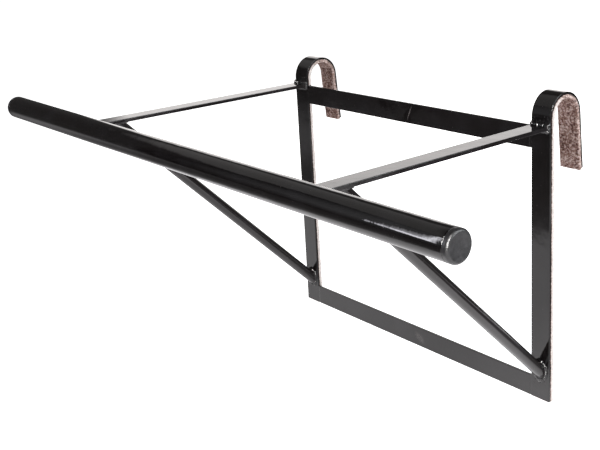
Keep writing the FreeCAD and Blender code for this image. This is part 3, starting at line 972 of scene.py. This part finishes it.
class PULLUP_OT_light_studio(bpy.types.Operator):
    """Sets up the floor, the white paper, the softbox and the camera"""
    bl_idname = "pullup.light_studio"
    bl_label = "Set up the studio"

    def execute(self, context):
        studio = context.scene.pullup_studio
        scene = context.scene
        scene.view_settings.view_transform = "Standard"
        scene.view_settings.look = "None"
        self.room(scene, studio)
        self.floor(scene)
        self.paper(studio)
        self.lights(studio)
        self.camera(scene, studio)
        return {"FINISHED"}

    def room(self, scene, studio):
        """A dim room round the paper, and plain white behind the bar wherever the camera looks."""
        world = bpy.data.worlds.new("room")
        scene.world = world
        n = Nodes(world)
        dim = n.add("Background", {"Color": (1.0, 0.97, 0.95, 1.0), "Strength": studio.room_light})
        white = n.add("Background", {"Color": (1.0, 1.0, 1.0, 1.0), "Strength": 1.0})
        seen = n.add("LightPath").outputs["Is Camera Ray"]
        mix = n.add("MixShader", {0: seen, 1: dim.outputs[0], 2: white.outputs[0]})
        n.tree.links.new(mix.outputs[0], n.add("OutputWorld").inputs["Surface"])

    def floor(self, scene):
        """A pale floor just under the frame, which the camera sees."""
        reach, z = 9.0, BOTTOM_Z - 4 * MM
        mesh = bpy.data.meshes.new("floor")
        mesh.from_pydata([(-reach, -reach, z), (reach, -reach, z), (reach, reach, z), (-reach, reach, z)],
                         [], [(0, 1, 2, 3)])
        material = bpy.data.materials.new("pale_floor")
        n = Nodes(material)
        tone = n.ramp(n.noise(0.9, 2.0), 0.3, 0.7, 0.97, 1.0)
        n.surface(Base_Color=(0.9, 0.9, 0.9, 1.0), Roughness=1.0, Emission_Color=(1, 1, 1, 1),
                  Emission_Strength=tone)
        mesh.materials.append(material)
        floor = bpy.data.objects.new("floor", mesh)
        scene.collection.objects.link(floor)
        for ray in ("visible_glossy", "visible_diffuse", "visible_shadow", "visible_transmission"):
            setattr(floor, ray, False)

    def paper(self, studio):
        """A sheet of white paper that runs under the bar and rises behind it, and the cards beside it."""
        z = BOTTOM_Z - 6 * MM
        # the paper's near edge, from the right of the bar to the left
        edge = ((1.30, -2.30), (0.35, -1.15), (-0.035, -0.89), (-0.075, -0.80), (-0.185, -0.67),
                (-0.325, -0.60), (-0.466, -0.53), (-0.758, -0.42), (-1.60, 0.10), (-2.60, 0.60))
        step, fade = 0.06, 0.06
        rows = []
        for i in range(76):
            row = []
            for j in range(84):
                x, y = -2.6 + j * step, -2.1 + i * step
                inside = self.side_of(edge, x, y)
                share = self.rising(inside, -fade, fade)
                share *= self.rising(self.rightwards(x, y, studio), 1.62, 1.0)
                behind_frame = min(self.rising(x, -0.30, -0.20), self.rising(x, 1.22, 1.12),
                                   self.rising(y, -0.02, 0.04), self.rising(y, 0.75, 0.65))
                share *= (1 - 0.9 * behind_frame) * (1 + 0.46 * self.rising(x, 0.05, 0.28))
                bare_floor = 0.06 + 0.26 * math.exp(min(0.0, inside) / 0.13)
                bare_floor += 0.30 * math.exp(-((x + 1.5) ** 2 + (y + 0.85) ** 2) / 0.16)
                row.append((Vector((x, y, z)), max(share, bare_floor * (1 - share) * (inside < fade))))
            rows.append(row)
        lit_card("paper_floor", rows, studio.floor_light, (1.0, 0.985, 1.0))
        self.backdrop("paper_wall", 1.60, (-0.98, -0.88, 0.95, 1.25), studio.wall_light, (1.0, 0.965, 0.95),
                      ((-0.45, 1.0), (0.62, 1.0), (0.69, 0.6), (0.78, 0.12), (0.86, 0.0)), studio)
        self.backdrop("wall_glow", 1.62, (-0.75, -0.62, -0.36, -0.26), studio.glow_light, (1.0, 1.0, 1.0),
                      ((0.62, 0.0), (0.68, 1.0), (0.80, 0.9), (0.92, 0.0)), studio)
        side = [[(Vector((2.0, y, z)), 1.0) for y in (-0.2, 1.6)] for z in (0.15, 1.5)]
        lit_card("side_fill", side, studio.side_light, (0.94, 0.98, 1.0))

    def backdrop(self, name, deep, sides, strength, tint, heights, studio):
        """An upright card behind the bar that fades out at both sides. heights are (height, share)."""
        rows = []
        for height, share in heights:
            rows.append([(on_paper(right, deep, height, studio), share * full)
                         for right, full in zip(sides, (0.0, 1.0, 1.0, 0.0))])
        lit_card(name, rows, strength, tint)

    def rising(self, value, none, full):
        """0 at none, 1 at full, and held beyond them."""
        return min(1.0, max(0.0, (value - none) / (full - none)))

    def rightwards(self, x, y, studio):
        """How far a point lies to the right of the origin, as the camera looks."""
        return x * math.cos(studio.azimuth) + y * math.sin(studio.azimuth)

    def side_of(self, edge, x, y):
        """Distance from the paper's edge, above 0 on the paper."""
        best, sign = 1e9, 1.0
        for (ax, ay), (bx, by) in zip(edge, edge[1:]):
            dx, dy = bx - ax, by - ay
            t = min(1.0, max(0.0, ((x - ax) * dx + (y - ay) * dy) / (dx * dx + dy * dy)))
            off = math.hypot(x - ax - t * dx, y - ay - t * dy)
            if off < best:
                best, sign = off, 1.0 if dx * (y - ay) - dy * (x - ax) < 0 else -1.0
        return best * sign

    def lights(self, studio):
        """The softbox left of the camera with its surround, a thin lamp behind the camera, and the ceiling.

        The softbox is a frame of bright tubes behind uneven cloth, so its shine on the bar is streaked."""
        across = Vector((-0.819, 0.573, 0))
        up = Vector((0, 0, 1))
        half_high = 0.48
        # shares of the brightness from the softbox's right edge to its left, in its tubes and its cloth
        places = (-0.10, 0.011, 0.064, 0.105, 0.145, 0.175, 0.205, 0.233, 0.260)
        tube = (0.0, 0.6, 0.85, 0.85, 0.80, 0.70, 0.45, 0.35, 0.0)
        cloth = (0.0, 0.6, 0.85, 0.60, 0.30, 0.20, 0.15, 0.10, 0.0)
        top = (0.0, 0.3, 0.40, 0.65, 0.55, 0.20, 0.14, 0.08, 0.0)
        bands = ((-1.12, tube, 0.0), (-1.0, tube, 1.0), (-0.82, tube, 1.0), (-0.68, cloth, 1.0),
                 (0.30, cloth, 1.0), (0.45, top, 1.0), (0.92, top, 1.0), (1.08, top, 0.0))
        rows = []
        for height, shares, share in bands:
            middle = Vector(studio.box_place) + up * (half_high * height)
            rows.append([(middle + across * place, own * share) for place, own in zip(places, shares)])
        lit_card("soft_box", rows, studio.box_light, (0.94, 0.94, 1.0))
        lamp_x, lamp_y, half_wide = 1.50, -1.42, 0.06
        rows = [[(Vector((lamp_x + u, lamp_y + u, z)), 1.0) for u in (-half_wide, half_wide)]
                for z in (-0.10, 1.75)]
        lit_card("kicker", rows, studio.kicker_light, (1.0, 0.98, 0.96)).visible_diffuse = False
        soft_box("box_halo", Vector((-0.52, -1.93, 0.70)), 0.80, 0.80, 0.40, studio.halo_light,
                 (0.95, 0.96, 1.0), across)
        height = 1.35
        rows = [[(Vector((x, y, height)), across_share * along_share)
                 for x, across_share in ((-2.7, 0.0), (-2.2, 1.0), (-0.6, 1.0), (-0.2, 0.0))]
                for y, along_share in ((-2.3, 0.0), (-1.9, 1.0), (0.3, 1.0), (0.7, 0.0))]
        lit_card("ceiling", rows, studio.ceiling_light, (1.0, 0.97, 0.96))

    def camera(self, scene, studio):
        """The camera, level but for a slight roll, its frame shifted to hold the whole bar."""
        look = Vector((-math.sin(studio.azimuth) * math.cos(studio.elevation),
                       math.cos(studio.azimuth) * math.cos(studio.elevation), -math.sin(studio.elevation)))
        level = look.cross(Vector((0, 0, 1))).normalized()
        over = level.cross(look)
        right = level * math.cos(studio.roll) + over * math.sin(studio.roll)
        turned_axes = Matrix((right, right.cross(look), -look)).transposed()
        data = bpy.data.cameras.new("studio_camera")
        data.sensor_width = 36.0
        data.lens = studio.lens
        data.shift_x = studio.shift_x
        data.shift_y = studio.shift_y
        camera = bpy.data.objects.new("studio_camera", data)
        camera.matrix_world = Matrix.Translation(Vector(studio.camera_place)) @ turned_axes.to_4x4()
        scene.collection.objects.link(camera)
        scene.camera = camera


OPERATORS = (PULLUP_OT_paint_steel, PULLUP_OT_turn_bar, PULLUP_OT_mould_caps, PULLUP_OT_lay_beads,
             PULLUP_OT_fill_seams, PULLUP_OT_line_hooks, PULLUP_OT_light_studio)
SETTINGS = (("pullup_paint", PaintSettings), ("pullup_weld", WeldSettings), ("pullup_felt", FeltSettings),
            ("pullup_cap", CapSettings), ("pullup_studio", StudioSettings))


class PULLUP_PT_bench(bpy.types.Panel):
    """Lists the making steps and their settings in the 3D view's sidebar"""
    bl_idname = "PULLUP_PT_bench"
    bl_label = "Pull-up bar"
    bl_space_type = "VIEW_3D"
    bl_region_type = "UI"
    bl_category = "Pull-up bar"

    def draw(self, context):
        for step in OPERATORS:
            self.layout.operator(step.bl_idname)
        for place, group in SETTINGS:
            box = self.layout.box()
            for name in group.__annotations__:
                box.prop(getattr(context.scene, place), name)


CLASSES = (*[group for _, group in SETTINGS], *OPERATORS, PULLUP_PT_bench)


def register():
    for cls in CLASSES:
        bpy.utils.register_class(cls)
    for place, group in SETTINGS:
        setattr(bpy.types.Scene, place, PointerProperty(type=group))


def unregister():
    for place, _ in SETTINGS:
        delattr(bpy.types.Scene, place)
    for cls in reversed(CLASSES):
        bpy.utils.unregister_class(cls)


def main():
    register()
    for step in OPERATORS:
        area, call = step.bl_idname.split(".")
        getattr(getattr(bpy.ops, area), call)()


if __name__ == "__main__":
    main()
